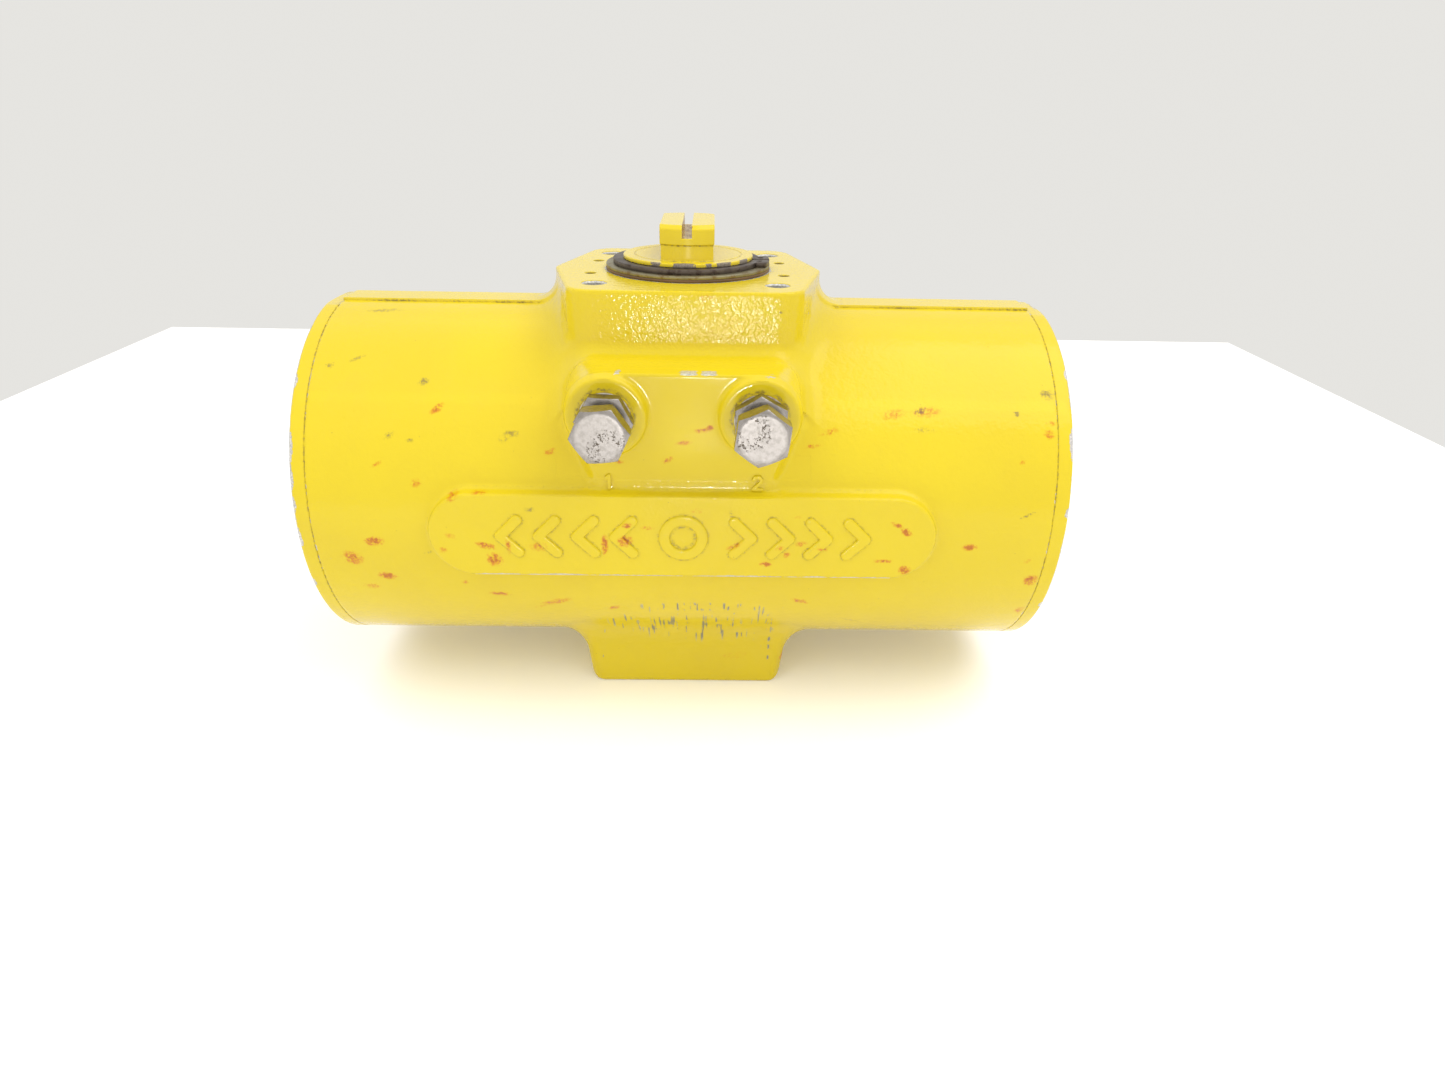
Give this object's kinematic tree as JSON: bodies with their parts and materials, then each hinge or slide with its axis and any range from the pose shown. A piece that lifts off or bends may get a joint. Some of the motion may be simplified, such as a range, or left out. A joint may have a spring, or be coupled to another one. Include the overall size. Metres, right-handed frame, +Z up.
{
  "type": "rotary pneumatic actuator",
  "caption": "Rack-and-pinion quarter-turn pneumatic actuator: round barrel with end caps, slotted drive shaft on a top pad, two travel stop screws, mounting foot.",
  "frame": {"origin": "centre of the bottom mounting face, on the pinion axis", "axes": "+X along the barrel, -Y the side with the travel stop screws, +Z up along the pinion towards the position slot"},
  "size_m": [0.3056, 0.1824, 0.203],
  "materials": {
    "housing_paint": "gloss yellow paint on cast aluminium",
    "cap_paint": "gloss yellow paint on cast aluminium",
    "pinion_paint": "steel, overpainted yellow where it stands out",
    "stainless_fasteners": "bright stainless steel",
    "circlip_steel": "dark phosphated spring steel",
    "spring_steel": "spring steel",
    "washer_steel": "dull stainless steel",
    "thrust_plastic": "brown acetal",
    "bearing_plastic": "black low-friction plastic",
    "piston_aluminium": "die-cast aluminium, machined where it runs",
    "seal_rubber": "black nitrile rubber"
  },
  "bodies": {
    "housing": {"housing": "housing_paint", "gallery_plug": "cap_paint", "end_cap_left": "cap_paint", "end_cap_right": "cap_paint", "end_cap_key_left": "spring_steel", "end_cap_key_right": "spring_steel", "end_cap_seal_left": "seal_rubber", "end_cap_seal_right": "seal_rubber", "pinion_top_bearing": "bearing_plastic", "pinion_bottom_bearing": "bearing_plastic", "thrust_bearing": "thrust_plastic"},
    "pinion": {"pinion": "pinion_paint", "pinion_top_seal": "seal_rubber", "pinion_bottom_seal": "seal_rubber", "thrust_washer": "washer_steel", "circlip": "circlip_steel"},
    "piston_left": {"piston_left": "piston_aluminium", "piston_seal_left": "seal_rubber", "piston_guide_band_left": "bearing_plastic", "rack_guide_pad_left": "bearing_plastic"},
    "piston_right": {"piston_right": "piston_aluminium", "piston_seal_right": "seal_rubber", "piston_guide_band_right": "bearing_plastic", "rack_guide_pad_right": "bearing_plastic"},
    "stop_seal_left": {"stop_seal_left": "seal_rubber"},
    "stop_screw_left": {"stop_screw_left": "stainless_fasteners"},
    "stop_washer_left": {"stop_washer_left": "stainless_fasteners"},
    "lock_nut_left": {"lock_nut_left": "stainless_fasteners"},
    "stop_seal_right": {"stop_seal_right": "seal_rubber"},
    "stop_screw_right": {"stop_screw_right": "stainless_fasteners"},
    "stop_washer_right": {"stop_washer_right": "stainless_fasteners"},
    "lock_nut_right": {"lock_nut_right": "stainless_fasteners"}
  },
  "joints": [
    {"name": "pinion_turn", "type": "hinge", "parent": "housing", "child": "pinion", "pos_m": [0, 0, 0.092], "axis": [0, 0, 1], "range_deg": [0, 90]},
    {"name": "piston_left_slide", "type": "slide", "parent": "housing", "child": "piston_left", "axis": [-1, 0, 0], "range_m": [0, 0.0377]},
    {"name": "piston_right_slide", "type": "slide", "parent": "housing", "child": "piston_right", "axis": [1, 0, 0], "range_m": [0, 0.0377]},
    {"name": "stop_screw_left_turn", "type": "hinge", "parent": "housing", "child": "stop_seal_left", "pos_m": [-0.0287, -0.0799, 0.1425], "axis": [0, -1, 0], "range_deg": [0, 1081]},
    {"name": "stop_screw_left_travel", "type": "slide", "parent": "stop_seal_left", "child": "stop_screw_left", "axis": [0, -1, 0], "range_m": [0, 0.00525]},
    {"name": "lock_nut_left_turn", "type": "hinge", "parent": "housing", "child": "stop_washer_left", "pos_m": [-0.0287, -0.0799, 0.1425], "axis": [0, -1, 0], "range_deg": [0, 721]},
    {"name": "lock_nut_left_travel", "type": "slide", "parent": "stop_washer_left", "child": "lock_nut_left", "axis": [0, -1, 0], "range_m": [0, 0.0035]},
    {"name": "stop_screw_right_turn", "type": "hinge", "parent": "housing", "child": "stop_seal_right", "pos_m": [0.0287, -0.0799, 0.1425], "axis": [0, -1, 0], "range_deg": [0, 1081]},
    {"name": "stop_screw_right_travel", "type": "slide", "parent": "stop_seal_right", "child": "stop_screw_right", "axis": [0, -1, 0], "range_m": [0, 0.00525]},
    {"name": "lock_nut_right_turn", "type": "hinge", "parent": "housing", "child": "stop_washer_right", "pos_m": [0.0287, -0.0799, 0.1425], "axis": [0, -1, 0], "range_deg": [0, 721]},
    {"name": "lock_nut_right_travel", "type": "slide", "parent": "stop_washer_right", "child": "lock_nut_right", "axis": [0, -1, 0], "range_m": [0, 0.0035]}
  ],
  "couplings": [
    {"joint": "piston_left_slide", "follows": "pinion_turn", "m_per_rad": 0.024},
    {"joint": "piston_right_slide", "follows": "pinion_turn", "m_per_rad": 0.024},
    {"joint": "stop_screw_left_turn", "follows": "stop_screw_left_travel", "rad_per_m": 3590.4},
    {"joint": "lock_nut_left_turn", "follows": "lock_nut_left_travel", "rad_per_m": 3590.4},
    {"joint": "stop_screw_right_turn", "follows": "stop_screw_right_travel", "rad_per_m": 3590.4},
    {"joint": "lock_nut_right_turn", "follows": "lock_nut_right_travel", "rad_per_m": 3590.4}
  ]
}
